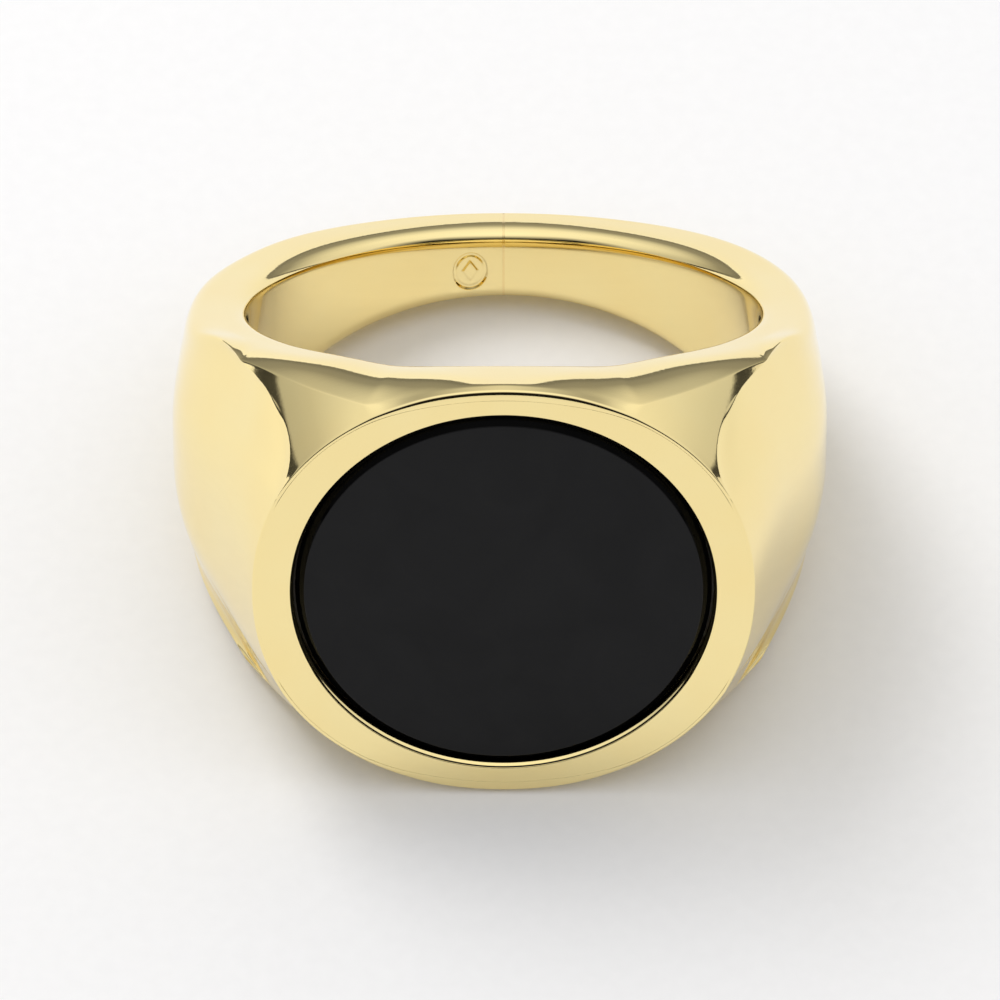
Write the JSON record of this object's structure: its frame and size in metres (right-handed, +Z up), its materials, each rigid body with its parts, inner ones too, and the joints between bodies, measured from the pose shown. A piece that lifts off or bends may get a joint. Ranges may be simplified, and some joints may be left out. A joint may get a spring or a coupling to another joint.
{
  "type": "signet ring",
  "caption": "Signet ring in polished yellow gold with a flat round black onyx tablet in a gold bezel, lying on its side.",
  "frame": {"origin": "centre of the ring's footprint on the surface that it lies on", "axes": "+Z up from that surface, +X across the face of the ring, -Y towards the side that the face looks to"},
  "size_m": [0.025, 0.0267, 0.0172],
  "materials": {
    "gold_casting": "mirror-polished yellow gold",
    "gold_bezel": "mirror-polished yellow gold",
    "onyx": "flat polished black onyx",
    "cement": "dark set epoxy cement",
    "gold_solder": "polished hard gold solder"
  },
  "bodies": {
    "root": {"ring_body": "gold_casting", "bezel": "gold_bezel", "onyx_tablet": "onyx", "stone_cement": "cement", "sizing_solder": "gold_solder"}
  },
  "joints": []
}
